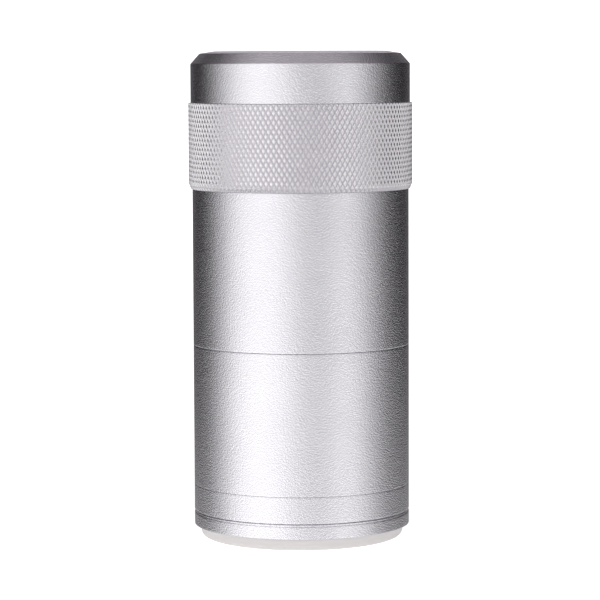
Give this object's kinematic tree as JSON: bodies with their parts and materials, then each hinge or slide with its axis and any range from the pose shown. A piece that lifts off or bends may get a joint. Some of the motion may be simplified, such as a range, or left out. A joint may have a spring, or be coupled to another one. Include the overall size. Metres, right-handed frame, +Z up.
{
  "type": "cryptex",
  "caption": "Cylindrical combination puzzle box: unmarked sections turn on a slotted tube, and the cap lifts out a container when their gates line up.",
  "frame": {"origin": "centre of the foot's underside", "axes": "+Z up along the cylinder's axis, gates and slot towards +X"},
  "size_m": [0.05, 0.05, 0.1088],
  "materials": {
    "anodised_aluminium": "bead-blasted, clear anodised",
    "knurled_aluminium": "diamond knurled, anodised",
    "turned_aluminium": "fine turned, anodised",
    "turned_brass": "fine turned",
    "spring_steel": "stamped, bright",
    "blackened_steel": "black oxide",
    "frosted_silicone": "frosted, translucent white",
    "black_rubber": "moulded, matt"
  },
  "bodies": {
    "base": {"foot_pad": "frosted_silicone", "bottom_ring": "anodised_aluminium", "bottom_ring_screws": "blackened_steel", "spacer_ring": "anodised_aluminium", "base_collar": "anodised_aluminium", "frame_screws": "blackened_steel", "floor_pad": "black_rubber", "frame_tube": "turned_aluminium", "lower_index_plate": "spring_steel", "upper_index_plate": "spring_steel", "grip_index_plate": "spring_steel", "disc_spring": "spring_steel", "retaining_collar": "turned_brass", "collar_screws": "blackened_steel"},
    "lower_section": {"lower_sleeve": "anodised_aluminium", "lower_gate_ring": "turned_brass", "lower_bearing_ring": "turned_brass", "lower_click_spring": "spring_steel", "lower_timing_pin": "spring_steel"},
    "upper_section": {"upper_sleeve": "anodised_aluminium", "upper_gate_ring": "turned_brass", "upper_bearing_ring": "turned_brass", "upper_click_spring": "spring_steel", "upper_timing_pin": "spring_steel"},
    "grip_section": {"knurled_ring": "knurled_aluminium", "grip_gate_ring": "turned_brass", "grip_bearing_ring": "turned_brass", "grip_click_spring": "spring_steel", "grip_timing_pin": "spring_steel"},
    "core": {"top_cap": "anodised_aluminium", "cap_hub": "turned_aluminium", "hub_screws": "blackened_steel", "bumper_ring": "black_rubber", "core_tube": "turned_aluminium", "lug_bar": "turned_brass", "lug_screws": "blackened_steel"}
  },
  "joints": [
    {"name": "lower_turn", "type": "hinge", "parent": "base", "child": "lower_section", "pos_m": [0, 0, 0.02775], "axis": [0, 0, 1], "continuous": true},
    {"name": "upper_turn", "type": "hinge", "parent": "base", "child": "upper_section", "pos_m": [0, 0, 0.06085], "axis": [0, 0, 1], "continuous": true},
    {"name": "grip_turn", "type": "hinge", "parent": "base", "child": "grip_section", "pos_m": [0, 0, 0.08785], "axis": [0, 0, 1], "continuous": true},
    {"name": "core_slide", "type": "slide", "parent": "base", "child": "core", "axis": [0, 0, 1], "range_m": [0, 0.095]}
  ]
}
